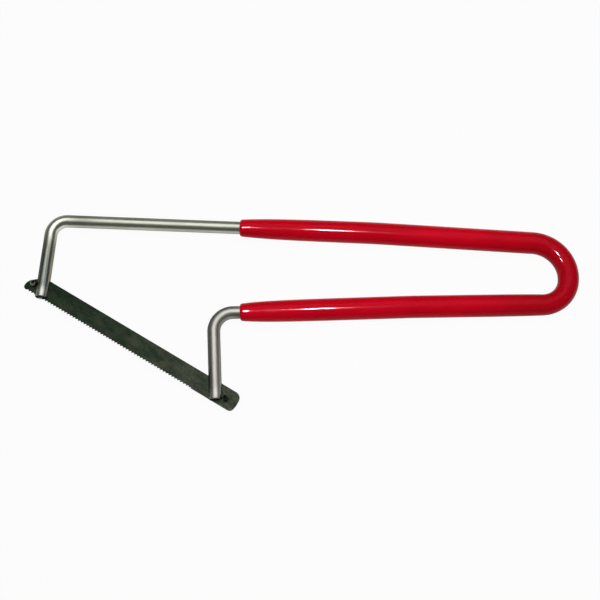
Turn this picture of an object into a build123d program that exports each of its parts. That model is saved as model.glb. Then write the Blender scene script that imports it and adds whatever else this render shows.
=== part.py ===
"""One-piece hacksaw: a steel rod bent into frame and handle, a dipped grip and a pinned blade.

The saw lies flat.  +X runs from the front of the saw to the closed end of its handle, +Y from the
blade to the long upper arm, and +Z up through the rod's thickness.  The origin is at the middle of
the outline, at the height of the surface that the grip lies on.  Lengths are in millimetres.

The outline is set out flat, from the tip of the front leg, and then placed on the plane through
the rod's axis.
"""

import os
from math import atan2, cos, degrees, radians, sin, tan

from build123d import *

# ---- The frame rod --------------------------------------------------------------------------
rod_diameter = 8.0
rod_tip_chamfer = 0.7

# The rod is bent flat.  Its straights and the way that each one heads, in degrees from +X, in
# order from the tip of the front leg round the handle to the tip of the rear leg:
front_leg_straight = 42.8
front_leg_heading = 86.8
upper_arm_straight = 197.1
upper_arm_heading = -2.4
upper_handle_straight = 102.9
upper_handle_heading = -3.84
loop_end_straight = 0.3
loop_end_heading = -99.3
lower_handle_straight = 82.7
lower_handle_heading = -179.1
lower_arm_straight = 111.9
lower_arm_heading = -178.1
rear_leg_straight = 43.6
rear_leg_heading = -86.8

# The radius of the rod's axis in each bend between those straights.  At the two knees in the
# handle the rod only turns by about a degree, so there the straights meet in a plain corner.
front_bend_radius = 10.0
upper_knee_radius = 0.0
loop_upper_radius = 22.6
loop_lower_radius = 18.2
lower_knee_radius = 0.0
rear_bend_radius = 12.0

# ---- The slots sawn in the two ends ---------------------------------------------------------
slot_width = 1.2
front_slot_depth = 15.6
rear_slot_depth = 16.2

# ---- The dipped grip ------------------------------------------------------------------------
grip_wall = 3.1
grip_rim_wall = 1.15
grip_rim_bevel = 0.6
grip_shoulder_wall = 2.2
grip_shoulder_length = 10.5
grip_taper_length = 50.0
lower_bare_length = 4.5
dip_line_heading = 91.2

# ---- The blade ------------------------------------------------------------------------------
blade_width = 12.3
blade_thickness = 0.65
blade_seat_clearance = 0.2
hole_from_back = 6.8
teeth_per_inch = 12
tooth_depth = 1.0
tooth_land = 0.15
tooth_set = 0.15
tooth_clearance_angle = 38.0
gullet_radius = 0.9
plain_tail = 29.0

nose_overhang = 5.9
nose_slant_start = 3.2
nose_slant_drop = 7.9
nose_slant_radius = 6.0
nose_toe_radius = 1.2
tail_overhang = 7.4
tail_back_radius = 5.0
tail_toe_radius = 3.2

# ---- The spring pins that the blade hangs on ------------------------------------------------
pin_diameter = 3.6
pin_bore = 2.1
pin_slit = 0.5
pin_length = 7.0
pin_rod_clearance = 0.15

# ---- Sizes that follow ----------------------------------------------------------------------
rod_radius = rod_diameter / 2
grip_radius = rod_radius + grip_wall
pin_radius = pin_diameter / 2
tooth_pitch = 25.4 / teeth_per_inch
root_depth = blade_width - hole_from_back - tooth_depth
edge_depth = blade_width - hole_from_back


def along(heading, length):
    """The step of a given length that heads a given number of degrees from +X."""
    return Vector(length * cos(radians(heading)), length * sin(radians(heading)))


def crossing(point_a, heading_a, point_b, heading_b):
    """The point where two lines in the plane of the saw cross."""
    a = along(heading_a, 1)
    b = along(heading_b, 1)
    gap = point_b - point_a
    return point_a + a * ((gap.X * b.Y - gap.Y * b.X) / (a.X * b.Y - a.Y * b.X))


# ---- The rod's axis, corner by corner -------------------------------------------------------
# A corner is where the lines of two straights cross, so a bend takes up some of both its runs.
straights = [
    front_leg_straight,
    upper_arm_straight,
    upper_handle_straight,
    loop_end_straight,
    lower_handle_straight,
    lower_arm_straight,
    rear_leg_straight,
]
headings = [
    front_leg_heading,
    upper_arm_heading,
    upper_handle_heading,
    loop_end_heading,
    lower_handle_heading,
    lower_arm_heading,
    rear_leg_heading,
]
bend_radii = [
    front_bend_radius,
    upper_knee_radius,
    loop_upper_radius,
    loop_lower_radius,
    lower_knee_radius,
    rear_bend_radius,
]
turns = [after - before for before, after in zip(headings, headings[1:])]
bend_runs = [radius * tan(radians(abs(turn)) / 2) for radius, turn in zip(bend_radii, turns)]
runs = [sum(run) for run in zip([0, *bend_runs], straights, [*bend_runs, 0])]
corners = [Vector(0, 0)]
for heading, run in zip(headings, runs):
    corners.append(corners[-1] + along(heading, run))
front_tip, front_corner, *handle_corners, rear_corner, rear_tip = corners
handle_radii = bend_radii[1:-1]

# The handle is dipped as far as one line across both arms: the coat starts there on each of them,
# square to the arm, and reaches its full wall further back.
lower_rim = rear_corner - along(lower_arm_heading, bend_runs[-1] + lower_bare_length)
upper_rim = crossing(front_corner, upper_arm_heading, lower_rim, dip_line_heading)
lower_full = lower_rim - along(lower_arm_heading, grip_taper_length)
upper_full = upper_rim + along(upper_arm_heading, grip_taper_length)

# ---- Where the blade hangs ------------------------------------------------------------------
# The floor of each slot is square across its leg.  The blade slopes down to the rear, so its back
# lies just under the front corner of both floors: the outer one in front, the inner one behind.
front_exit_heading = front_leg_heading - 180
front_floor = front_tip - along(front_exit_heading, front_slot_depth)
rear_floor = rear_tip - along(rear_leg_heading, rear_slot_depth)
front_touch = front_floor + along(front_exit_heading - 90, rod_radius)
rear_touch = rear_floor + along(rear_leg_heading - 90, rod_radius)
touch_line = rear_touch - front_touch
blade_heading = degrees(atan2(touch_line.Y, touch_line.X))

# The pins stand outside the two legs, on a line parallel to the blade's back.
hole_line = front_touch + along(blade_heading - 90, blade_seat_clearance + hole_from_back)
pin_offset = rod_radius + pin_rod_clearance + pin_radius
front_pin_track = front_tip + along(front_exit_heading - 90, pin_offset)
rear_pin_track = rear_tip + along(rear_leg_heading + 90, pin_offset)
front_pin_spot = crossing(hole_line, blade_heading, front_pin_track, front_exit_heading)
rear_pin_spot = crossing(hole_line, blade_heading, rear_pin_track, rear_leg_heading)
pin_spacing = (rear_pin_spot - front_pin_spot).length

# The blade's edges, from the front pin's centre: +X along the blade to the rear, +Y to its back.
nose_x = -nose_overhang
tail_x = pin_spacing + tail_overhang
back_y = hole_from_back
tip_y = hole_from_back - blade_width
root_y = tip_y + tooth_depth
teeth_start = nose_x + nose_toe_radius
tooth_count = int((tail_x - plain_tail - teeth_start) / tooth_pitch)
teeth_end = teeth_start + tooth_count * tooth_pitch


def bent_line(plane, corners, radii):
    """A line through the given corners of the saw's layout, with each inner corner bent."""
    with BuildLine(plane) as line:
        FilletPolyline([plane.from_local_coords(corner) for corner in corners], radius=radii)
    return line.wire()


def rod_axis(plane):
    """The axis of the whole rod, from the tip of the front leg to the tip of the rear leg."""
    return bent_line(plane, corners, bend_radii)


def grip_axis(plane):
    """The part of the rod's axis where the grip has its full wall."""
    return bent_line(plane, [upper_full, *handle_corners, lower_full], handle_radii)


def blade_blank(plane):
    """The outline of the blade with its two holes, before its teeth are cut."""
    with BuildSketch(plane) as blank:
        with BuildLine():
            FilletPolyline(
                (nose_slant_start, back_y),
                (nose_x, back_y - nose_slant_drop),
                (nose_x, tip_y),
                (tail_x, tip_y),
                (tail_x, back_y),
                radius=(0, nose_slant_radius, nose_toe_radius, tail_toe_radius, tail_back_radius),
                close=True,
            )
        make_face()
        with Locations((0, 0), (pin_spacing, 0)):
            Circle(pin_radius, mode=Mode.SUBTRACT)
    return blank.sketch


# ---- The middle of the outline --------------------------------------------------------------
flat_rod = rod_axis(Plane.XY).bounding_box()
flat_grip = grip_axis(Plane.XY).bounding_box()
flat_blade = blade_blank(Plane(front_pin_spot, x_dir=along(blade_heading, 1))).bounding_box()
left = min(flat_rod.min.X - rod_radius, flat_blade.min.X)
right = max(flat_grip.max.X + grip_radius, flat_blade.max.X)
low = min(flat_grip.min.Y - grip_radius, flat_blade.min.Y)
high = max(flat_rod.max.Y + rod_radius, flat_grip.max.Y + grip_radius)

saw_plane = Plane((-(left + right) / 2, -(low + high) / 2, grip_radius))
blade_plane = Plane(saw_plane.from_local_coords(front_pin_spot), x_dir=along(blade_heading, 1))
blade_section = Plane(blade_plane.origin, x_dir=blade_plane.y_dir, z_dir=blade_plane.x_dir)

# ---- Frame rod: one bent bar, chamfered and slotted at both ends ----------------------------
with BuildPart() as frame_rod:
    axis = rod_axis(saw_plane)
    with BuildSketch(Plane(axis @ 0, z_dir=axis % 0)):
        Circle(rod_radius)
    sweep(path=axis, transition=Transition.RIGHT)
    tips = faces().filter_by(GeomType.PLANE)
    chamfer(tips.edges(), rod_tip_chamfer)
    for tip, heading, depth in (
        (front_tip, front_exit_heading, front_slot_depth),
        (rear_tip, rear_leg_heading, rear_slot_depth),
    ):
        leg_plane = Plane(saw_plane.from_local_coords(tip), x_dir=along(heading, 1))
        with BuildSketch(leg_plane):
            Rectangle(2 * depth, 2 * rod_diameter)
        extrude(amount=slot_width / 2, both=True, mode=Mode.SUBTRACT)

# ---- Grip: one dipped coat round the handle, thin at its two rims ---------------------------
with BuildPart() as grip:
    axis = grip_axis(saw_plane)
    with BuildSketch(Plane(axis @ 0, z_dir=axis % 0)):
        Circle(grip_radius)
    sweep(path=axis, transition=Transition.RIGHT)
    for rim, heading in ((upper_rim, upper_arm_heading), (lower_rim, lower_arm_heading + 180)):
        arm_plane = Plane(saw_plane.from_local_coords(rim), x_dir=along(heading, 1))
        rim_radius = rod_radius + grip_rim_wall
        with BuildSketch(arm_plane):
            Polygon(
                (grip_taper_length, 0),
                (0, 0),
                (0, rim_radius - grip_rim_bevel),
                (grip_rim_bevel, rim_radius),
                (grip_shoulder_length, rod_radius + grip_shoulder_wall),
                (grip_taper_length, grip_radius),
                align=None,
            )
        revolve(axis=Axis(arm_plane.origin, arm_plane.x_dir))
    add(frame_rod.part, mode=Mode.SUBTRACT)

# ---- Blade: pinned at both ends, with teeth set to left and right in turn -------------------
with BuildSketch() as tooth:
    slope_x = tooth_depth / tan(radians(tooth_clearance_angle))
    gullet_run = gullet_radius * tan(radians(tooth_clearance_angle / 2))
    heel_x = tooth_land + slope_x
    heel = Vector(heel_x, root_y)
    with BuildLine():
        flank = Polyline(
            (0, root_y),
            (0, tip_y),
            (tooth_land, tip_y),
            heel - along(tooth_clearance_angle, gullet_run),
        )
        TangentArc(flank @ 1, (heel_x + gullet_run, root_y), tangent=flank % 1)
        Line((heel_x + gullet_run, root_y), (0, root_y))
    make_face()

with BuildPart() as blade:
    add(blade_blank(blade_plane))
    extrude(amount=blade_thickness / 2, both=True)
    with BuildSketch(blade_plane):
        with Locations((teeth_start, tip_y)):
            Rectangle(teeth_end - teeth_start, tooth_depth, align=(Align.MIN, Align.MIN))
    extrude(amount=blade_thickness / 2, both=True, mode=Mode.SUBTRACT)
    for first, lean in ((0, tooth_set), (1, -tooth_set)):
        with BuildPart(mode=Mode.PRIVATE) as row:
            with BuildSketch(blade_plane):
                spots = range(first, tooth_count, 2)
                with Locations(*[(teeth_start + n * tooth_pitch, 0) for n in spots]):
                    add(tooth.sketch)
            extrude(amount=blade_thickness / 2 + tooth_set, both=True)
            with BuildSketch(blade_section):
                Polygon(
                    (root_y, -blade_thickness / 2),
                    (root_y, blade_thickness / 2),
                    (tip_y, blade_thickness / 2 + lean),
                    (tip_y, -blade_thickness / 2 + lean),
                    align=None,
                )
            extrude(amount=tail_x, both=True, mode=Mode.INTERSECT)
        add(row.part)


def spring_pin(x):
    """A rolled pin with a slit, standing through the blade at x along its line of holes."""
    with BuildPart() as pin:
        with BuildSketch(blade_plane.offset(-pin_length / 2)):
            with Locations((x, 0)):
                Circle(pin_radius)
        extrude(amount=pin_length)
        with BuildSketch(blade_plane.offset(-pin_length / 2)):
            with Locations((x, 0)):
                Circle(pin_bore / 2)
                Rectangle(pin_slit, pin_diameter, align=(Align.CENTER, Align.MIN))
        extrude(amount=pin_length, mode=Mode.SUBTRACT)
    return pin


# ---- Spring pins: one in each end of the blade ----------------------------------------------
front_pin = spring_pin(0)
rear_pin = spring_pin(pin_spacing)

frame_rod.part.label = "frame_rod"
grip.part.label = "grip"
blade.part.label = "blade"
front_pin.part.label = "front_pin"
rear_pin.part.label = "rear_pin"

os.makedirs("parts", exist_ok=True)
export_step(frame_rod.part, "parts/frame_rod.step")
export_step(grip.part, "parts/grip.step")
export_step(blade.part, "parts/blade.step")
export_step(front_pin.part, "parts/front_pin.step")
export_step(rear_pin.part, "parts/rear_pin.step")

# The way that the blade is lifted out of both slots, and the sizes that follow from the layout.
print("overall", right - left, high - low, 2 * grip_radius)
print("blade", tail_x - nose_x, "teeth", tooth_count, "pins apart", pin_spacing)
print("blade leaves along", along(front_exit_heading, 1))
print("front pin", blade_plane.origin, "rear pin", blade_plane.from_local_coords((pin_spacing, 0)))
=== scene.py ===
# %% [markdown]
# # A one-piece hacksaw
# This is a plumber's saw: one steel rod bent into the frame and the handle, a thick coat of red
# vinyl dipped over the handle, and a toothed blade that hangs on two rolled pins in the sawn ends
# of the rod.  The lesson first brings in the fixed CAD frame.  Blender never moves it, so every
# place below is worked out from its boxes and from the sizes that the saw is built to.

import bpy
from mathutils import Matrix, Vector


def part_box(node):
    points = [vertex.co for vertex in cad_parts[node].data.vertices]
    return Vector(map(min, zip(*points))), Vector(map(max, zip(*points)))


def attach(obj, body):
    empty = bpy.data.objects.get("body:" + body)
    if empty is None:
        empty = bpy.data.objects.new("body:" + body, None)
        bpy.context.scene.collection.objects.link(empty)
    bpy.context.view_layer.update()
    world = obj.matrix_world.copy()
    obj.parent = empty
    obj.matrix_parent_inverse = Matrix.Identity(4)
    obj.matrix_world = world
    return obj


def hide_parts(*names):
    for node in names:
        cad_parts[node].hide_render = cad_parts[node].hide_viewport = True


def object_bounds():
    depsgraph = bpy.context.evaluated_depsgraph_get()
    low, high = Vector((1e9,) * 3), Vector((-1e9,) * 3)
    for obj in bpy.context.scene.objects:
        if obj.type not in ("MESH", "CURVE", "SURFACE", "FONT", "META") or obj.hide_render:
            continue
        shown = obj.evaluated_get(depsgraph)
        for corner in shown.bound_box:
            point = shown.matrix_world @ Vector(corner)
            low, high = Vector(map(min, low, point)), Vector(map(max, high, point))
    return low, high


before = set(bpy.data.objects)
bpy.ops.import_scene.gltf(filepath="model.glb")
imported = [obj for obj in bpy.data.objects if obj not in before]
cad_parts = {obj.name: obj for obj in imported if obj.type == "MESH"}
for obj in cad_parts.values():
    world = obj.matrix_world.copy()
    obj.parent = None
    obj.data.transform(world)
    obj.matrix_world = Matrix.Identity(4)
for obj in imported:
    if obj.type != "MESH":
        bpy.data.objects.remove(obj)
cad_low, cad_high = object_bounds()
print("CAD box", cad_low, cad_high)

# %% [markdown]
# ## The camera
# The saw lies flat and is looked at from almost straight above, from a little in front of the
# blade.  A longish lens at arm's length keeps the two ends of the saw in the same proportion as a
# person sees them.  The camera is placed by a tilt and a distance, because those two numbers are
# easier to reason about than a raw location.

# %% Camera
from math import cos, radians, sin

import bpy
from mathutils import Vector

VIEW_TILT = radians(18)
VIEW_DISTANCE = 0.567
VIEW_CENTRE = Vector((-0.0008, 0.0064, (cad_low.z + cad_high.z) / 2))

camera_data = bpy.data.cameras.new("camera")
camera_data.lens = 54
camera_data.sensor_width = 36
camera = bpy.data.objects.new("camera", camera_data)
bpy.context.scene.collection.objects.link(camera)
towards_camera = Vector((0, -sin(VIEW_TILT), cos(VIEW_TILT)))
camera.location = VIEW_CENTRE + towards_camera * VIEW_DISTANCE
camera.rotation_mode = "QUATERNION"
camera.rotation_quaternion = (-towards_camera).to_track_quat("-Z", "Y")
bpy.context.scene.camera = camera
bpy.context.scene.view_settings.view_transform = "Standard"
print("camera at", camera.location)

# %% [markdown]
# ## Shader sums as plain expressions
# A finish is a sum of masks, and a sum is easier to read as `1 - mask * 0.3` than as a row of node
# calls.  So one small class wraps a node's output socket and overloads the operators.  Each
# operator adds a Math node, and the reflected forms let a number stand on the left.  Colours don't
# pass through here, because a Math node would turn them grey.

# %% A socket that can be reckoned with
class Signal:
    """An output socket of a node, as a value that can be added, multiplied and so on."""

    def __init__(self, finish, socket):
        self.finish = finish
        self.socket = socket

    def maths(self, operation, *values):
        """One Math node that works on some values."""
        return self.finish.node("ShaderNodeMath", {"operation": operation}, dict(enumerate(values)))

    def __add__(self, other):
        return self.maths("ADD", self, other)

    __radd__ = __add__

    def __sub__(self, other):
        return self.maths("SUBTRACT", self, other)

    def __rsub__(self, other):
        return self.maths("SUBTRACT", other, self)

    def __mul__(self, other):
        return self.maths("MULTIPLY", self, other)

    __rmul__ = __mul__

    def __abs__(self):
        return self.maths("ABSOLUTE", self)

    def at_most(self, limit):
        """The value, or the limit where the value is more."""
        return self.maths("MINIMUM", self, limit)

    def within(self, low, high):
        """0 where the value is low or less, 1 where it is high or more, and smooth in between."""
        settings = {"interpolation_type": "SMOOTHSTEP", "clamp": True}
        ends = {"Value": self, "From Min": low, "From Max": high}
        return self.finish.node("ShaderNodeMapRange", settings, ends)


print("a signal can", [name for name in vars(Signal) if name in dir(int) and name not in dir(object)])

# %% [markdown]
# ## One method for every other node
# Noise, mixes and bumps are all added in the same way: the node's type, then its settings, then
# what goes into its sockets.  The settings come first, because they decide which sockets the node
# has.  A socket that its settings switch off is passed over, so a colour Mix finds its own A and B.

# %% A finish is a material that nodes are added to
def colour(red, green, blue):
    """An opaque colour for a socket, from linear red, green and blue."""
    return (red, green, blue, 1)


class Finish:
    """A node material with a Principled shader."""

    def __init__(self, name):
        self.material = bpy.data.materials.new(name)
        self.material.use_nodes = True
        self.tree = self.material.node_tree
        self.shader = self.tree.nodes["Principled BSDF"]

    def node(self, kind, settings, inputs, output=0):
        """Adds one node: its settings, then its sockets, by name or by number."""
        node = self.tree.nodes.new(kind)
        for name, value in settings.items():
            setattr(node, name, value)
        for key, value in inputs.items():
            self.feed(self.find(node.inputs, key), value)
        return Signal(self, self.find(node.outputs, output))

    @staticmethod
    def find(sockets, key):
        """The socket of that number, or the working one of that name."""
        if isinstance(key, int):
            return [socket for socket in sockets if socket.enabled][key]
        return next(socket for socket in sockets if socket.name == key and socket.enabled)

    def feed(self, socket, value):
        """Links a signal to a socket, or sets the socket to a plain value."""
        if isinstance(value, Signal):
            self.tree.links.new(value.socket, socket)
        else:
            socket.default_value = value

    def wear(self, **sockets):
        """Feeds the Principled shader, whose sockets are written with underscores."""
        for name, value in sockets.items():
            self.feed(self.find(self.shader.inputs, name.replace("_", " ")), value)

    def place(self, name):
        """A vector that the mesh carries at every point, such as its place on a straight rod."""
        return self.node("ShaderNodeAttribute", {"attribute_name": name}, {}, output="Vector")

    def level(self, name):
        """A number that the mesh carries at every point."""
        return self.node("ShaderNodeAttribute", {"attribute_name": name}, {}, output="Fac")

    def axis(self, place, name):
        """One coordinate of a place, as a number."""
        return self.node("ShaderNodeSeparateXYZ", {}, {"Vector": place}, output=name)

    def stretched(self, place, size):
        """The same place in cells of a given size, in metres, along each axis."""
        cells = tuple(1 / length for length in size)
        return self.node("ShaderNodeVectorMath", {"operation": "MULTIPLY"}, {0: place, 1: cells})

    def grain(self, place, size, detail=2.0, roughness=0.5, distortion=0.0):
        """Noise from 0 to 1, whose blots have a given size along each axis."""
        look = {"Scale": 1.0, "Detail": detail, "Roughness": roughness, "Distortion": distortion}
        return self.node("ShaderNodeTexNoise", {}, {"Vector": self.stretched(place, size), **look})

    def blend(self, mask, before, after):
        """A colour that goes from one to another with a mask."""
        settings = {"data_type": "RGBA", "clamp_factor": True}
        return self.node("ShaderNodeMix", settings, {"Factor": mask, "A": before, "B": after})

    def relief(self, height, depth, strength):
        """The normal of a surface with a height from 0 to 1 that stands for a depth in metres."""
        inputs = {"Height": height, "Distance": depth, "Strength": strength}
        return self.node("ShaderNodeBump", {}, inputs)


print("a finish can", [name for name in vars(Finish) if not name.startswith("_")])

# %% [markdown]
# ## Meshes from plain lists
# Each piece is built ring by ring or point by point, and turned into a mesh here.  Points that fall
# together are joined, so that a piece closes up.  The mesh also carries its own measurements: every
# point of the bent rod keeps the place that it had while the rod was straight.  A finish that is
# laid out on that place follows every bend, as drawing lines on real rod do, and it has no seam.

# %% Make a piece of the saw
import bmesh

MM = 0.001
TOUCHING = 1e-6


def make_piece(name, points, faces, attributes):
    """A mesh object from points and faces, with named numbers or vectors at its points."""
    mesh = bpy.data.meshes.new(name)
    mesh.from_pydata(points, [], faces)
    for attribute, values in attributes:
        if hasattr(values[0], "__len__"):
            layer = mesh.attributes.new(attribute, "FLOAT_VECTOR", "POINT")
            layer.data.foreach_set("vector", [part for value in values for part in value])
        else:
            layer = mesh.attributes.new(attribute, "FLOAT", "POINT")
            layer.data.foreach_set("value", values)
    joined = bmesh.new()
    joined.from_mesh(mesh)
    bmesh.ops.remove_doubles(joined, verts=joined.verts, dist=TOUCHING)
    bmesh.ops.recalc_face_normals(joined, faces=joined.faces)
    joined.to_mesh(mesh)
    joined.free()
    piece = bpy.data.objects.new(name, mesh)
    bpy.context.scene.collection.objects.link(piece)
    print(name, len(mesh.vertices), "points", len(mesh.polygons), "faces")
    return piece


def band(one, two):
    """The faces that join one ring of points to the next."""
    return [(one[i - 1], one[i], two[i], two[i - 1]) for i in range(len(one))]


def smooth_with_edges(piece, angle, width=0.0):
    """Smooth faces, sharp edges over an angle, and a fine rounding along those edges."""
    piece.data.shade_smooth()
    piece.data.set_sharp_from_angle(angle=angle)
    if width:
        rounding = piece.modifiers.new("edge_rounding", "BEVEL")
        rounding.width = width
        rounding.segments = 2
        rounding.limit_method = "ANGLE"
        rounding.angle_limit = angle
        rounding.harden_normals = True
        rounding.miter_outer = "MITER_ARC"


print("points nearer than", TOUCHING / MM, "mm are joined")

# %% [markdown]
# ## The rod's line
# The rod is plain 8 mm bar.  A bender works from a schedule of straights, headings and bend radii,
# so the same schedule gives its centre line here, in millimetres and in degrees from +X.  The line
# could be a curve object with a bevel, but a list of stations also says how far along the rod each
# one is, and both the coat and the finishes are laid out by that.

# %% The bending schedule
from math import tan

ROD_RADIUS = 4.0 * MM

straights = [42.8, 197.1, 102.9, 0.3, 82.7, 111.9, 43.0]
headings = [86.8, -2.4, -3.84, -99.3, -179.1, -178.1, -86.8]
bend_radii = [10.0, 0.0, 22.6, 18.2, 0.0, 12.0]
KNEE_RADIUS = 700.0
LEAST_BEND_STEPS = 4


def flat_heading(degrees_from_x):
    """The unit step in the plane of the saw that heads a number of degrees from +X."""
    return Vector((cos(radians(degrees_from_x)), sin(radians(degrees_from_x)), 0))


class Station:
    """A place along the rod: how far it is from the front tip, where it is, and its heading."""

    def __init__(self, distance, point, heading):
        self.distance = distance
        self.point = point
        self.heading = heading
        self.across = flat_heading(heading + 90)


def walk_rod(step_length=2.0, step_angle=3.0):
    """Stations along the whole rod, in metres.  A plain corner is eased to a long, gentle bow."""
    turns = [after - before for before, after in zip(headings, headings[1:])]
    eased = [0]
    for radius, turn in zip(bend_radii, turns):
        eased.append(0 if radius else KNEE_RADIUS * tan(radians(abs(turn)) / 2))
    eased.append(0)
    walk = [Station(0, Vector((0, 0, 0)), headings[0])]

    def step(length, heading, next_heading):
        last = walk[-1]
        point = last.point + flat_heading(heading) * length * MM
        walk.append(Station(last.distance + length * MM, point, next_heading))

    for index, (straight, heading) in enumerate(zip(straights, headings)):
        length = straight - eased[index] - eased[index + 1]
        count = max(1, round(length / step_length))
        for _ in range(count):
            step(length / count, heading, heading)
        if index == len(turns):
            break
        radius = bend_radii[index] or KNEE_RADIUS
        count = max(LEAST_BEND_STEPS, round(abs(turns[index]) / step_angle))
        part_turn = turns[index] / count
        chord = 2 * radius * sin(radians(abs(part_turn)) / 2)
        for part in range(count):
            chord_heading = heading + part_turn * (part + 0.5)
            step(chord, chord_heading, chord_heading + part_turn / 2)
    return walk


stations = walk_rod()
rod_low, rod_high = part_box("frame_rod")
home = Vector((0, 0, (rod_low.z + rod_high.z) / 2))
home.x = rod_high.x - ROD_RADIUS - max(station.point.x for station in stations)
home.y = rod_high.y - ROD_RADIUS - max(station.point.y for station in stations)
for station in stations:
    station.point += home
print(len(stations), "stations along", round(stations[-1].distance / MM, 1), "mm of rod")


def station_at(distance):
    """The station at any distance along the rod, in metres from the front tip."""
    after = next(i for i, s in enumerate(stations) if s.distance >= distance - TOUCHING)
    last, following = stations[max(after - 1, 0)], stations[max(after, 1)]
    share = (distance - last.distance) / (following.distance - last.distance)
    heading = last.heading + (following.heading - last.heading) * share
    point = last.point.lerp(following.point, share)
    return Station(distance, point, heading)

# %% [markdown]
# ## The bent rod
# Both ends of the rod are sawn lengthwise, so each ends in two half-round tines with the blade
# between them.  A boolean cut would do it, but it leaves ragged faces on a smooth tube.  Instead
# the ring of points round the rod has a point just where each side of the saw cut comes out.  The
# whole rod and the half-round tines then share those points and close up without a seam.

# %% The rings of the rod
from math import asin, pi

SLOT_WIDTH = 1.2 * MM
FRONT_SLOT = 15.6 * MM
REAR_SLOT = 15.6 * MM
ARC_STEPS = 28
UP = Vector((0, 0, 1))


def on_circle(radius, angle):
    """The place at an angle on a circle round the origin."""
    return radius * cos(angle), radius * sin(angle)


def tine_ring(radius, side):
    """The half-round outline over (side 1) or under (side -1) the slot, as (across, up) pairs."""
    edge = asin(SLOT_WIDTH / 2 / radius)
    angles = [edge + (pi - 2 * edge) * step / ARC_STEPS for step in range(ARC_STEPS + 1)]
    return [on_circle(radius, side * angle) for angle in angles]


def rod_ring(radius):
    """The round outline, with the same points as both tines and one more at each side."""
    upper, lower = tine_ring(radius, 1), tine_ring(radius, -1)
    return [*upper, (-radius, 0), *reversed(lower), (radius, 0)]


print(len(rod_ring(ROD_RADIUS)), "points round the rod,", len(tine_ring(ROD_RADIUS, 1)), "round a tine")

# %% Loft rings along the rod
class Loft:
    """Points and faces of a piece that follows the rod, with each point's straightened place."""

    def __init__(self):
        self.points = []
        self.faces = []
        self.straight = []

    def ring(self, station, outline):
        """Adds one ring of points and gives their numbers."""
        first = len(self.points)
        for across, up in outline:
            self.points.append(station.point + station.across * across + UP * up)
            self.straight.append((station.distance, across, up))
        return list(range(first, len(self.points)))

    def skin(self, rings):
        """Joins each ring to the next with a band of faces."""
        for one, two in zip(rings, rings[1:]):
            self.faces += band(one, two)

    def piece(self, name):
        """Makes the mesh, which carries the straightened places."""
        return make_piece(name, self.points, self.faces, [("straightened", self.straight)])


print("a loft can", [name for name in vars(Loft) if not name.startswith("_")])

# %% Build the rod
TINE_PLAIN = 8 * MM
TIP_ROUNDING = ((0.7, 0.0), (0.4, 0.07), (0.17, 0.25), (0.04, 0.5), (0.0, 0.7))
rod_length = stations[-1].distance
front_floor, rear_floor = FRONT_SLOT, rod_length - REAR_SLOT

rod_loft = Loft()
middle = [s.distance for s in stations if front_floor + MM < s.distance < rear_floor - MM]
body_rings = []
for distance in (front_floor, *middle, rear_floor):
    body_rings.append(rod_loft.ring(station_at(distance), rod_ring(ROD_RADIUS)))
rod_loft.skin(body_rings)

for floor_ring, floor, tip, inward in (
    (body_rings[0], front_floor, 0.0, 1),
    (body_rings[-1], rear_floor, rod_length, -1),
):
    left, right = floor_ring[ARC_STEPS], floor_ring[0]
    left_side, right_side = floor_ring[ARC_STEPS + 1], floor_ring[-1]
    left_under, right_under = floor_ring[ARC_STEPS + 2], floor_ring[-2]
    rod_loft.faces.append((right, left, left_side, left_under, right_under, right_side))
    steps = [(floor, 0.0), (tip + inward * TINE_PLAIN, 0.0)]
    steps += [(tip + inward * back * MM, less * MM) for back, less in TIP_ROUNDING]
    for side in (1, -1):
        rings = [rod_loft.ring(station_at(d), tine_ring(ROD_RADIUS - less, side)) for d, less in steps]
        rod_loft.skin(rings)
        rod_loft.faces.append(tuple(rings[-1]))

bent_rod = rod_loft.piece("bent_rod")
smooth_with_edges(bent_rod, angle=radians(40), width=0.1 * MM)
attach(bent_rod, "frame")
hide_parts("frame_rod")

# %% [markdown]
# ## The dipped grip
# The handle is dipped into liquid vinyl and drawn out slowly.  The coat is thinnest where it left
# the bath first, at the two rims, and thickens over a hand's breadth, a little sooner on the lower
# arm.  It has a small round lip at the very edge, and it drained thin some twenty degrees into the
# tighter bend of the closed end.  All of these are smooth curves of the distance along the rod, so
# the radius is worked out from that distance.  Noise of about a hundredth of a millimetre keeps the
# gloss from looking machined.

# %% How thick the coat is
from math import exp, sqrt

from mathutils import noise

UPPER_BARE = 111.5 * MM
LOWER_BARE = 4.5 * MM
LIP_LENGTH = 1.7 * MM
LIP_WALL = 1.45 * MM
FULL_WALL = 3.1 * MM
UPPER_THICKENING = 19 * MM
LOWER_THICKENING = 15 * MM
RIPPLE = 0.013 * MM
RIPPLE_LENGTH = 14 * MM
RIPPLE_TURNS = 1.2
TIGHT_THINNING = 0.6 * MM
TIGHT_SPREAD = 26 * MM
TIGHT_TURN = 20

front_bend_length = bend_radii[0] * radians(headings[0] - headings[1]) * MM
rear_bend_length = bend_radii[-1] * radians(headings[-1] - headings[-2]) * MM
front_bend_end = straights[0] * MM + front_bend_length
rear_bend_start = rod_length - straights[-1] * MM - rear_bend_length
upper_rim = front_bend_end + UPPER_BARE
lower_rim = rear_bend_start - LOWER_BARE
tight_bend = next(s.distance for s in stations if s.heading < headings[3] - TIGHT_TURN)


def coat_wall(distance):
    """The thickness of the coat at a distance along the rod."""
    from_rim = max(0.0, min(distance - upper_rim, lower_rim - distance))
    edge = max(0.0, 1 - from_rim / LIP_LENGTH)
    lip = LIP_WALL * sqrt(max(0.0, 1 - edge * edge))
    from_bend = (distance - tight_bend) / TIGHT_SPREAD
    drained = TIGHT_THINNING * exp(-from_bend * from_bend)
    thickening = UPPER_THICKENING if distance < tight_bend else LOWER_THICKENING
    return lip + (FULL_WALL - LIP_WALL) * (1 - exp(-from_rim / thickening)) - drained


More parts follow.
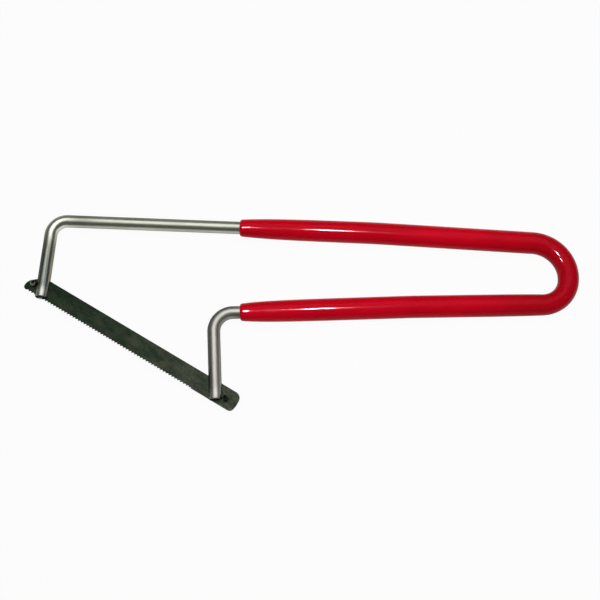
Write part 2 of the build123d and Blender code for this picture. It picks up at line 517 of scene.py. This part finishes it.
def coat_ripple(distance, angle):
    """A shallow unevenness of the coat, longer along the rod than round it."""
    spot = Vector((distance / RIPPLE_LENGTH, *on_circle(RIPPLE_TURNS, angle)))
    return RIPPLE * noise.noise(spot) * min(1.0, coat_wall(distance) / LIP_WALL)


for back in (0, 1, 5, 20, 50, 100):
    print(back, "mm from the rim the wall is", round(coat_wall(upper_rim + back * MM) / MM, 2), "mm")

# %% Build the grip
GRIP_STEPS = 64
RIM_STEPS = (0, 0.03, 0.1, 0.22, 0.4, 0.65, 0.95, 1.3, 1.7, 2.3, 3.2, 4.5, 6.0)
RIM_REACH = (RIM_STEPS[-1] + 1) * MM

grip_places = [upper_rim + step * MM for step in RIM_STEPS]
grip_places += [s.distance for s in stations if upper_rim + RIM_REACH < s.distance < lower_rim - RIM_REACH]
grip_places += [lower_rim - step * MM for step in reversed(RIM_STEPS)]
turn_angles = [2 * pi * step / GRIP_STEPS for step in range(GRIP_STEPS)]

grip_loft = Loft()
outer_rings, inner_rings = [], []
for distance in grip_places:
    wall = coat_wall(distance)
    coat = [on_circle(ROD_RADIUS + wall + coat_ripple(distance, a), a) for a in turn_angles]
    bore = [on_circle(ROD_RADIUS, a) for a in turn_angles]
    outer_rings.append(grip_loft.ring(station_at(distance), coat))
    inner_rings.append(grip_loft.ring(station_at(distance), bore))
grip_loft.skin(outer_rings)
grip_loft.skin(inner_rings)
dipped_grip = grip_loft.piece("dipped_grip")
smooth_with_edges(dipped_grip, angle=radians(60))
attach(dipped_grip, "frame")
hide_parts("grip")

# %% [markdown]
# ## The blade
# The blade is a strip of saw steel with a pinned hole at each end and about sixty teeth, bent out
# to left and right in turn.  Its outline is drawn flat through six corners, filled once, and given
# its thickness.  Only then are the teeth pushed over, each point by its depth below the roots, which
# is just what the setting tool does.

# %% Lay out the blade from its two pins
front_pin_low, front_pin_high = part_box("front_pin")
rear_pin_low, rear_pin_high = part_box("rear_pin")
front_hole = (front_pin_low + front_pin_high) / 2
rear_hole = (rear_pin_low + rear_pin_high) / 2
PIN_SPACING = (rear_hole - front_hole).length
blade_x = (rear_hole - front_hole).normalized()
blade_y = UP.cross(blade_x)

BLADE_WIDTH = 12.3 * MM
BLADE_THICKNESS = 0.65 * MM
HOLE_FROM_BACK = 6.8 * MM
PIN_RADIUS = 1.8 * MM
TOOTH_PITCH = 25.4 * MM / 12
TOOTH_DEPTH = 0.72 * MM
TOOTH_LAND = 0.15 * MM
TOOTH_SET = 0.15 * MM
TOOTH_SLOPE = radians(38)
GULLET_RADIUS = 0.9 * MM
GULLET_STEPS = 3
NOSE_DROP = 6.9 * MM
NOSE_RADIUS = 6 * MM
TOE_RADIUS = 2.3 * MM
PLAIN_TAIL = 27.5 * MM

nose_x = -4.8 * MM
tail_x = PIN_SPACING + 7.7 * MM
back_y = HOLE_FROM_BACK
tip_y = HOLE_FROM_BACK - BLADE_WIDTH
root_y = tip_y + TOOTH_DEPTH
teeth_start = nose_x + TOE_RADIUS
tooth_count = int((tail_x - PLAIN_TAIL - teeth_start) / TOOTH_PITCH)
print("the blade is", round((tail_x - nose_x) / MM, 1), "mm long and has", tooth_count, "teeth")

# %% Round the corners of a flat outline
from math import atan2


def rounded(corners, steps=8):
    """The outline through corners given as (x, y, radius), with each corner rounded."""
    outline = []
    for index, (x, y, radius) in enumerate(corners):
        corner = Vector((x, y))
        before = (Vector(corners[index - 1][:2]) - corner).normalized()
        after = (Vector(corners[(index + 1) % len(corners)][:2]) - corner).normalized()
        if not radius:
            outline.append(corner)
            continue
        half = before.angle(after) / 2
        centre = corner + (before + after).normalized() * radius / sin(half)
        start = corner + before * radius / tan(half) - centre
        end = corner + after * radius / tan(half) - centre
        first = atan2(start.y, start.x)
        swing = atan2(start.cross(end), start.dot(end))
        for step in range(steps + 1):
            angle = first + swing * step / steps
            outline.append(centre + Vector(on_circle(radius, angle)))
    return outline


def tooth_outline(x):
    """One tooth that starts at x, from its upright face round to the end of its gullet."""
    slope_x = TOOTH_DEPTH / tan(TOOTH_SLOPE)
    run = GULLET_RADIUS * tan(TOOTH_SLOPE / 2)
    heel_x = x + TOOTH_LAND + slope_x
    points = [Vector((x, root_y)), Vector((x, tip_y)), Vector((x + TOOTH_LAND, tip_y))]
    centre = Vector((heel_x + run, root_y - GULLET_RADIUS))
    for step in range(GULLET_STEPS + 1):
        angle = pi / 2 + TOOTH_SLOPE * (1 - step / GULLET_STEPS)
        points.append(centre + Vector(on_circle(GULLET_RADIUS, angle)))
    return points


print("a tooth has", len(tooth_outline(0)), "points")

# %% Outline the strip and its teeth
# From where the nose slopes off the back, round the toe and the tail: x, y and radius.
corners = [
    (3.2 * MM, back_y, 0),
    (nose_x, back_y - NOSE_DROP, NOSE_RADIUS),
    (nose_x, tip_y, TOE_RADIUS),
    (tail_x - 0.5 * MM, tip_y, 3 * MM),
    (tail_x + 0.3 * MM, tip_y + 5 * MM, 6 * MM),
    (tail_x - 0.1 * MM, back_y, 4.2 * MM),
]
strip = rounded(corners)
toe_end = max(i for i, point in enumerate(strip) if point.x < teeth_start + TOUCHING)
teeth = [tooth_outline(teeth_start + number * TOOTH_PITCH) for number in range(tooth_count)]
root_line = [point for tooth in teeth for point in (tooth[0], tooth[-1])]
teeth_end = root_line[-1].x
plain_edge = [Vector((teeth_end, tip_y))]
outline = strip[: toe_end + 1] + root_line + plain_edge + strip[toe_end + 1 :]
print("the outline has", len(outline), "points before the teeth are added")

# %% Fill, thicken and set the blade
HOLE_STEPS = 32


def blade_place(x, y, z):
    """A place on the blade, from its front hole, as a place in the frame."""
    return front_hole + blade_x * x + blade_y * y + UP * z


sheet = bmesh.new()


def loop_of(points):
    """Adds a closed loop of edges to the sheet."""
    loop = [sheet.verts.new((*point, 0)) for point in points]
    return [sheet.edges.new(ends) for ends in zip(loop, loop[1:] + loop[:1])]


edges = loop_of(outline)
for hole_x in (0, PIN_SPACING):
    hole = [on_circle(PIN_RADIUS, 2 * pi * step / HOLE_STEPS) for step in range(HOLE_STEPS)]
    edges += loop_of([(hole_x + across, up) for across, up in hole])
bmesh.ops.triangle_fill(sheet, use_beauty=True, use_dissolve=False, edges=edges)
for tooth in teeth:
    sheet.faces.new([sheet.verts.new((*point, 0)) for point in tooth])
bmesh.ops.remove_doubles(sheet, verts=sheet.verts, dist=TOUCHING)
bmesh.ops.translate(sheet, verts=sheet.verts, vec=(0, 0, -BLADE_THICKNESS / 2))
grown = bmesh.ops.extrude_face_region(sheet, geom=sheet.faces[:], use_keep_orig=True)
other_side = [part for part in grown["geom"] if isinstance(part, bmesh.types.BMVert)]
bmesh.ops.translate(sheet, verts=other_side, vec=(0, 0, BLADE_THICKNESS))

flat_places = []
for vertex in sheet.verts:
    x, y, z = vertex.co
    flat_places.append((x, y, z))
    number = int((x - teeth_start + TOUCHING) / TOOTH_PITCH)
    toothed = teeth_start - TOUCHING < x < teeth_end + TOUCHING
    depth = max(0.0, root_y - y) if toothed else 0.0
    z += (1 if number % 2 == 0 else -1) * TOOTH_SET * depth / TOOTH_DEPTH
    vertex.co = blade_place(x, y, z)
sheet.verts.index_update()
blade_faces = [tuple(vertex.index for vertex in face.verts) for face in sheet.faces]
blade_points = [tuple(vertex.co) for vertex in sheet.verts]
sheet.free()
saw_blade = make_piece("saw_blade", blade_points, blade_faces, [("on_blade", flat_places)])
smooth_with_edges(saw_blade, angle=radians(30), width=0.05 * MM)
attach(saw_blade, "blade_set")
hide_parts("blade")

# %% [markdown]
# ## The rolled pins
# Each end of the blade hangs on a spring pin: a strip rolled into a tube that does not quite close.
# The tube is squeezed into the blade's hole and grips it.  Its ends are rounded where they were
# tumbled.  A few C-shaped rings along the pin make the slit, the bore and the rounded ends at once.
# A plug across the middle of the bore is painted near-black, as the shade inside the hole.

# %% Roll a pin
PIN_BORE = 1.05 * MM
PIN_SLIT = 0.5 * MM
PIN_HALF = 3.5 * MM
PLUG_HALF = 1.6 * MM
PLUG_STEPS = 24
PLUG_INSET = 0.8
BORE_ROUNDING = 0.6
PIN_ENDS = ((1.0, 0.34), (0.985, 0.18), (0.955, 0.06), (0.91, 0.0))


def c_section(less, steps=40):
    """The C-shaped outline of a pin, that much thinner all round, opened towards the blade's back."""
    outer, inner = PIN_RADIUS - less, PIN_BORE + less * BORE_ROUNDING
    outline = []
    for radius, order in ((outer, range(steps + 1)), (inner, reversed(range(steps + 1)))):
        half_slit = asin(PIN_SLIT / 2 / radius)
        for step in order:
            angle = pi / 2 + half_slit + (2 * pi - 2 * half_slit) * step / steps
            outline.append(on_circle(radius, angle))
    return outline


def rolled_pin(name, x, node, highlight_strength):
    """A rolled pin at x along the blade, in place of one of the frame's pins."""
    levels = [(-share * PIN_HALF, less * MM) for share, less in PIN_ENDS]
    levels += [(share * PIN_HALF, less * MM) for share, less in reversed(PIN_ENDS)]
    points, places, faces = [], [], []

    def ring(outline, z, inset=1.0):
        """Adds one ring of points, whose places for the finish may lie further in."""
        first = len(points)
        points.extend(blade_place(x + across, along, z) for across, along in outline)
        places.extend((across * inset, along * inset, z) for across, along in outline)
        return range(first, len(points))

    rings = [ring(c_section(less), z) for z, less in levels]
    for one, two in zip(rings, rings[1:]):
        faces += band(one, two)
    half = len(rings[0]) // 2
    for end in (rings[0], rings[-1]):
        for i in range(half - 1):
            faces.append((end[i], end[i + 1], end[2 * half - 2 - i], end[2 * half - 1 - i]))
    plug = [on_circle(PIN_BORE, 2 * pi * step / PLUG_STEPS) for step in range(PLUG_STEPS)]
    low, high = (ring(plug, z, PLUG_INSET) for z in (-PLUG_HALF, PLUG_HALF))
    faces += [*band(low, high), tuple(low), tuple(high)]
    # Painted highlight: the share of light colour grows towards the side of the pin that faces the teeth.
    shine = [highlight_strength * (0.5 - 0.5 * along / PIN_RADIUS) for across, along, z in places]
    pin = make_piece(name, points, faces, [("on_pin", places), ("shine", shine)])
    smooth_with_edges(pin, angle=radians(50))
    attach(pin, "blade_set")
    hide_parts(node)
    return pin


# The front pin gets the full painted highlight and the rear pin none.
front_spring_pin = rolled_pin("front_spring_pin", 0, "front_pin", 1.0)
rear_spring_pin = rolled_pin("rear_spring_pin", PIN_SPACING, "rear_pin", 0.0)

# %% [markdown]
# ## Nickel on drawn steel
# The rod was drawn through a die and plated with dull nickel.  Fine lines run along it, broken up
# by cloudy patches where the plating is thinner and slightly olive.  An image could be wrapped round
# the rod for this, but noise that is stretched along the straightened rod follows every bend by
# itself and shows no seam.

# %% Grain of the plating
nickel = Finish("satin_nickel")
on_rod = nickel.place("straightened")
along_rod, across_rod, up_rod = (nickel.axis(on_rod, name) for name in "XYZ")
hairlines = nickel.grain(on_rod, (9 * MM, 0.12 * MM, 0.12 * MM), detail=3)
streaks = nickel.grain(on_rod, (30 * MM, 0.9 * MM, 0.9 * MM), detail=3)
tinge = nickel.grain(on_rod, (70 * MM, 1.3 * MM, 1.3 * MM), detail=2)
clouds = nickel.grain(on_rod, (22 * MM, 9 * MM, 9 * MM), detail=4, roughness=0.6)
flecks = nickel.grain(on_rod, (0.5 * MM, 0.35 * MM, 0.35 * MM), detail=2).within(0.68, 0.78)
print(nickel.material.name, len(nickel.tree.nodes), "nodes for the grain")

# %% [markdown]
# ## Painted light and shade on the rod
# Both legs are painted darker as shade, the front bend and the tips are painted lighter as highlights,
# the sawn ends are painted near-black as shade, and the sides are painted dark as shade, most of all
# on the leg behind the grip.  Each of these is a mask, worked out from the distance to one end of the
# rod or from the side of it.

# %% Masks for painted light and shade on the rod, and for its tinge
from_rear = rod_length - along_rod
front_bend_middle = front_bend_end - front_bend_length / 2

at_front_leg = 1 - along_rod.within(26 * MM, 50 * MM)
at_rear_leg = 1 - from_rear.within(35 * MM, 60 * MM)
at_legs = (at_front_leg + at_rear_leg) * 0.45 + 0.08
# Painted highlight at both tips.
at_tips = 1 - along_rod.at_most(from_rear).within(3 * MM, 9 * MM)
past_grip = 1 - from_rear.within(60 * MM, 68 * MM)
# Painted highlight on the front bend, brightest at its middle, where the rod is also made smoother.
highlighted = 1 - abs(along_rod - front_bend_middle).within(0, 17 * MM)
# Painted shade: both legs are painted darker, the front leg most, broken up by the streaks.
leg_shade = (at_front_leg * 0.85 + at_rear_leg * 0.3) * (0.7 + streaks.within(0.42, 0.58) * 0.45)

# Painted shade along the sides of the rod: one side along most of it, both sides on the last stretch
# behind the grip.
outer_side = across_rod.within(1.8 * MM, 3.6 * MM)
both_sides = 1 - across_rod.within(-3.2 * MM, -0.8 * MM) + across_rod.within(2.2 * MM, 3.8 * MM) * 0.55
side_shade = outer_side * (1 - past_grip) + both_sides * past_grip

# Painted shade on the sawn end faces: the front one over its upper half, the rear one all over.
front_end_shade = (1 - along_rod.within(0.1 * MM, 0.5 * MM)) * up_rod.within(-1.0 * MM, 0)
rear_end_shade = 1 - from_rear.within(0.1 * MM, 0.5 * MM)
print("the front bend is rubbed brightest", round(front_bend_middle / MM, 1), "mm from the tip")

# %% Colours of the rod
bright = colour(0.57, 0.59, 0.49)
thin_plating = colour(0.33, 0.335, 0.26)
# The painted shade colour of the legs.
shaded_leg = colour(0.13, 0.145, 0.12)
# The painted highlight colour of the front bend and the tips.
highlight_nickel = colour(0.86, 0.88, 0.80)
warm_tinge = colour(0.44, 0.39, 0.25)
cool_tinge = colour(0.35, 0.36, 0.44)
pit = colour(0.13, 0.13, 0.10)
grey_nickel = colour(0.56, 0.545, 0.525)
# The painted shade colour of the rod's sides.
shaded_side = colour(0.06, 0.065, 0.05)
# The near-black of the painted shade on the sawn ends.
end_shade = colour(0.012, 0.012, 0.010)

nickel_colour = nickel.blend((clouds * 0.4 + streaks * 0.6).within(0.40, 0.66) * 0.6, bright, thin_plating)
for mask, shade in (
    (leg_shade * (1 - highlighted), shaded_leg),
    (highlighted * 0.7, highlight_nickel),
    (tinge.within(0.52, 0.62) * at_legs, warm_tinge),
    ((1 - tinge.within(0.38, 0.48)) * at_legs, cool_tinge),
    (flecks * 0.5, pit),
    (past_grip * 0.7, grey_nickel),
    (at_tips * 0.6, highlight_nickel),
    (side_shade * 0.75, shaded_side),
    ((front_end_shade + rear_end_shade) * 0.9, end_shade),
):
    nickel_colour = nickel.blend(mask, nickel_colour, shade)
print(nickel.material.name, len(nickel.tree.nodes), "nodes with the colours")

# %% Finish of the rod
dullness = streaks * 0.10 + hairlines * 0.06 + clouds * 0.05 - highlighted * 0.10 + past_grip * 0.05
nickel.wear(
    Base_Color=nickel_colour,
    Metallic=1 - flecks * 0.4,
    Specular_Tint=colour(0.2, 0.21, 0.17),
    Roughness=0.28 + dullness,
    Normal=nickel.relief(hairlines * 0.5 + streaks * 0.5 - flecks * 0.6, 0.03 * MM, 0.35),
)
bent_rod.data.materials.append(nickel.material)
print(nickel.material.name, len(nickel.tree.nodes), "nodes")

# %% [markdown]
# ## Dipped vinyl
# Cured vinyl is glossy, deeply coloured and never quite even.  Its red is painted a little deeper round
# the closed end of the loop, as shade, and broad soft patches come from the way it drained.  The gloss
# carries a faint orange peel, draw lines along the handle and dull smudges from hands, so the highlights
# break up a little.  One plain red would look like moulded plastic.

# %% Finish of the grip
vinyl = Finish("dipped_vinyl")
on_grip = vinyl.place("straightened")
drained = vinyl.grain(on_grip, (35 * MM, 10 * MM, 10 * MM), detail=3)
pigment = vinyl.grain(on_grip, (0.5 * MM, 0.5 * MM, 0.5 * MM), detail=3, roughness=0.65)
peel = vinyl.grain(on_grip, (1.6 * MM, 1.2 * MM, 1.2 * MM), detail=1.5)
draw_lines = vinyl.grain(on_grip, (40 * MM, 1.1 * MM, 1.1 * MM), detail=2)
smudges = vinyl.grain(on_grip, (16 * MM, 9 * MM, 9 * MM), detail=4, distortion=0.6).within(0.52, 0.72)
specks = vinyl.grain(on_grip, (0.45 * MM, 0.4 * MM, 0.4 * MM), detail=1).within(0.74, 0.8)

deep_red = colour(0.57, 0.002, 0.012)
bright_red = colour(0.69, 0.0024, 0.016)
# The painted shade colour of the loop's closed end.
shaded_red = colour(0.44, 0.003, 0.010)
dark_speck = colour(0.20, 0.003, 0.008)
along_grip = vinyl.axis(on_grip, "X")
# Painted shade: the red goes deeper round the closed end of the loop.
loop_end_shade = 1 - abs(along_grip - tight_bend).within(15 * MM, 85 * MM)
vinyl_colour = vinyl.blend((drained * 0.7 + pigment * 0.3).within(0.3, 0.62), deep_red, bright_red)
vinyl_colour = vinyl.blend(loop_end_shade * 0.85, vinyl_colour, shaded_red)
vinyl_colour = vinyl.blend(specks * 0.6, vinyl_colour, dark_speck)
vinyl.wear(
    Base_Color=vinyl_colour,
    Roughness=0.08 + smudges * 0.06 + pigment * 0.02 + specks * 0.2,
    Specular_IOR_Level=0.1,
    Specular_Tint=colour(1.0, 0.3, 0.38),
    Normal=vinyl.relief(peel * 0.35 + draw_lines * 0.65 + specks * 0.3, 0.015 * MM, 0.1),
)
dipped_grip.data.materials.append(vinyl.material)
print(vinyl.material.name, len(vinyl.tree.nodes), "nodes")

# %% [markdown]
# ## Blued saw steel
# The blade was hardened, left with its dark green-black scale and oiled, and it is mottled in patches.
# Its colour is painted darkest at the nose and lighter olive grey at the tail, a painted sheen.  The
# grain of the rolled strip runs along it.  The teeth were milled after that, so their edges show
# brighter steel, and the tail is rubbed where the rear pin and the slot work on it.

# %% Grain of the blade
blued = Finish("blued_steel")
on_blade = blued.place("on_blade")
along_blade, up_blade = (blued.axis(on_blade, name) for name in "XY")
mottle = blued.grain(on_blade, (9 * MM, 5 * MM, 5 * MM), detail=5, roughness=0.65, distortion=0.4)
fine_mottle = blued.grain(on_blade, (1.3 * MM, 0.9 * MM, 0.9 * MM), detail=4, roughness=0.6)
cloudy = blued.grain(on_blade, (6 * MM, 4 * MM, 4 * MM), detail=4, roughness=0.6, distortion=0.6)
rolling = blued.grain(on_blade, (16 * MM, 0.16 * MM, 0.16 * MM), detail=3)
oil = blued.grain(on_blade, (14 * MM, 7 * MM, 7 * MM), detail=3, distortion=0.8).within(0.45, 0.65)
print(blued.material.name, len(blued.tree.nodes), "nodes for the grain")

# %% Colours of the blade
green_black = colour(0.004, 0.0155, 0.005)
deep_green = colour(0.010, 0.040, 0.012)
olive_grey = colour(0.040, 0.054, 0.033)
rust_brown = colour(0.052, 0.032, 0.020)
# The brown that the painted sheen turns the patches to towards the tail.
tail_brown = colour(0.088, 0.070, 0.058)
rubbed_scale = colour(0.095, 0.105, 0.085)
bare_steel = colour(0.30, 0.30, 0.27)

# Painted sheen: a ramp from the nose to the tail that lightens the blade and shifts its brown patches.
tail_sheen = along_blade.within(-10 * MM, PIN_SPACING + 20 * MM)
at_rear_pin = along_blade.within(PIN_SPACING - 12 * MM, PIN_SPACING)
at_teeth = 1 - up_blade.within(tip_y, root_y - 0.1 * MM)
patches = (mottle * 0.6 + fine_mottle * 0.25 + rolling * 0.15).within(0.32, 0.68)
green = cloudy.within(0.5, 0.62) * (1 - tail_sheen)
brown = (mottle * 0.45 + fine_mottle * 0.55 + tail_sheen * 0.05).within(0.50, 0.62)
brown_shade = blued.blend(tail_sheen.within(0.4, 0.9), rust_brown, tail_brown)
rubbed_tail = (fine_mottle * 0.6 + cloudy * 0.4).within(0.48, 0.6) * at_rear_pin

# The ramp towards the tail is painted sheen; the patches are the blade's own mottling.
blued_colour = blued.blend(tail_sheen * 0.65 + patches * 0.65 - 0.28, green_black, olive_grey)
for mask, shade in (
    (green * 0.6, deep_green),
    (brown * 0.42, brown_shade),
    (rubbed_tail * 0.55, rubbed_scale),
    (at_teeth * 0.35 * fine_mottle.within(0.35, 0.6), bare_steel),
):
    blued_colour = blued.blend(mask, blued_colour, shade)
print(blued.material.name, len(blued.tree.nodes), "nodes with the colours")

# %% Finish of the blade
blued.wear(
    Base_Color=blued_colour,
    Metallic=0.75 + at_teeth * 0.2,
    Roughness=0.42 - oil * 0.1 + fine_mottle * 0.1 + rolling * 0.06,
    Normal=blued.relief(rolling * 0.6 + fine_mottle * 0.4, 0.02 * MM, 0.4),
)
saw_blade.data.materials.append(blued.material)
print(blued.material.name, len(blued.tree.nodes), "nodes")

# %% [markdown]
# ## Spring steel
# The pins are plain dark spring steel.  Their bores are painted near-black as the shade inside the holes,
# and the front pin carries a painted highlight on the side towards the teeth, so each point of a pin
# carries its own share of it.

# %% Finish of the pins
spring = Finish("spring_steel")
on_pin = spring.place("on_pin")
tumbled = spring.grain(on_pin, (0.5 * MM, 0.5 * MM, 0.9 * MM), detail=4, roughness=0.65)
turned = spring.grain(on_pin, (0.7 * MM, 0.7 * MM, 0.08 * MM), detail=2)
flattened = spring.node("ShaderNodeVectorMath", {"operation": "MULTIPLY"}, {0: on_pin, 1: (1, 1, 0)})
from_axis = spring.node("ShaderNodeVectorMath", {"operation": "LENGTH"}, {0: flattened}, output="Value")
in_bore = 1 - from_axis.within(PIN_BORE, PIN_BORE + 0.25 * MM)

dark_spring = colour(0.018, 0.020, 0.016)
light_spring = colour(0.42, 0.44, 0.34)
# The near-black of the painted shade in the bores.
bore_shade = colour(0.012, 0.012, 0.010)
# The painted highlight share that each point of the pin carries.
painted_highlight = spring.level("shine")
scuffs = tumbled.within(0.35, 0.65)
spring_colour = spring.blend(scuffs * (painted_highlight * 0.4 + 0.06) + painted_highlight * 0.5, dark_spring, light_spring)
# Painted shade: the bore goes near-black, except where the front pin's painted highlight reaches.
spring_colour = spring.blend(in_bore * (1 - painted_highlight * 0.85), spring_colour, bore_shade)
spring.wear(
    Base_Color=spring_colour,
    Metallic=0.9 - in_bore * 0.5,
    Roughness=0.34 + tumbled * 0.15 + in_bore * 0.35,
    Specular_IOR_Level=0.2,
    Normal=spring.relief(tumbled * 0.5 + turned * 0.5, 0.02 * MM, 0.4),
)
front_spring_pin.data.materials.append(spring.material)
rear_spring_pin.data.materials.append(spring.material)
print(spring.material.name, len(spring.tree.nodes), "nodes")

# %% [markdown]
# ## The table
# The saw lies on a plain white sheet.  The sheet is part paint and part light box: the painted part
# takes the saw's soft shadow, and the lit part lets it read as white without any stronger lamp.
# The lit part also shows to glossy rays, because steel mirrors the table that it lies on.

# %% The white table
TABLE_HALF = 6.0

table_mesh = bpy.data.meshes.new("table")
table_corners = [(x * TABLE_HALF, y * TABLE_HALF, 0) for x, y in ((-1, -1), (1, -1), (1, 1), (-1, 1))]
table_mesh.from_pydata(table_corners, [], [(0, 1, 2, 3)])
table = bpy.data.objects.new("table", table_mesh)
bpy.context.scene.collection.objects.link(table)

paper = Finish("white_table")
fibre = paper.node("ShaderNodeTexNoise", {}, {"Scale": 900.0, "Detail": 3.0})
paper_colour = paper.blend(fibre, colour(0.62, 0.62, 0.62), colour(0.66, 0.66, 0.66))
paper.wear(Base_Color=paper_colour, Roughness=0.9, Specular_IOR_Level=0.0)
direct = paper.node("ShaderNodeLightPath", {}, {}, output="Is Camera Ray")
mirrored = paper.node("ShaderNodeLightPath", {}, {}, output="Is Glossy Ray")
through = paper.node("ShaderNodeLightPath", {}, {}, output="Is Transmission Ray")
lit = paper.node("ShaderNodeEmission", {}, {"Color": colour(1, 1, 1), "Strength": 1.0})
lit_share = (direct + mirrored * 0.85 + through).at_most(1) * 0.95
painted = Signal(paper, paper.shader.outputs["BSDF"])
both = paper.node("ShaderNodeMixShader", {}, {0: lit_share, 1: painted, 2: lit})
paper.feed(paper.tree.nodes["Material Output"].inputs["Surface"], both)
table.data.materials.append(paper.material)
print("the table is", 2 * TABLE_HALF, "m wide")

# %% [markdown]
# ## Daylight
# The room gives a little even light from all round, so that no shadow goes black.  A picture of a
# sky would tint the steel, so one white is enough.

# %% Daylight from the room
daylight = bpy.data.worlds.new("daylight")
bpy.context.scene.world = daylight
daylight.use_nodes = True
sky = daylight.node_tree.nodes["Background"]
sky.inputs["Color"].default_value = colour(1, 1, 1)
sky.inputs["Strength"].default_value = 0.1
print("the room shines at", round(sky.inputs["Strength"].default_value, 2))

# %% [markdown]
# ## The lamps
# A big soft lamp behind the saw draws the broad bands on the steel, and a key lamp near the camera
# shows the colours.  The key lamp leaves no mirror image, so it can be strong without a second
# band.  Two small lamps light nothing but the grip, by light linking, and only as highlights: one
# draws the narrow streaks along both arms, the other the short glints behind the rims.

# %% Lamps
def lamp(name, place, width, length, watts):
    """A rectangular lamp that shines at the middle of the saw."""
    data = bpy.data.lights.new(name, "AREA")
    data.shape = "RECTANGLE"
    data.size = width
    data.size_y = length
    data.energy = watts
    made = bpy.data.objects.new(name, data)
    made.location = place
    made.rotation_mode = "QUATERNION"
    made.rotation_quaternion = (VIEW_CENTRE - made.location).to_track_quat("-Z", "Y")
    bpy.context.scene.collection.objects.link(made)
    return made


key_lamp = lamp("key_lamp", (0.03, -0.16, 0.75), width=0.4, length=0.4, watts=1.9)
key_lamp.visible_glossy = False
soft_lamp = lamp("soft_lamp", (0.0, 0.31, 1.0), width=1.1, length=1.0, watts=6.0)

grip_only = bpy.data.collections.new("grip_only")
grip_only.objects.link(dipped_grip)
streak_lamp = lamp("streak_lamp", (0.021, -0.05, 0.57), width=0.045, length=0.045, watts=15.0)
rim_lamp = lamp("rim_lamp", (-0.165, -0.05, 0.55), width=0.06, length=0.035, watts=14.0)
for small_lamp in (streak_lamp, rim_lamp):
    small_lamp.visible_diffuse = False
    small_lamp.light_linking.receiver_collection = grip_only
print("lamps", [light.name for light in (key_lamp, soft_lamp, streak_lamp, rim_lamp)])

# %% [markdown]
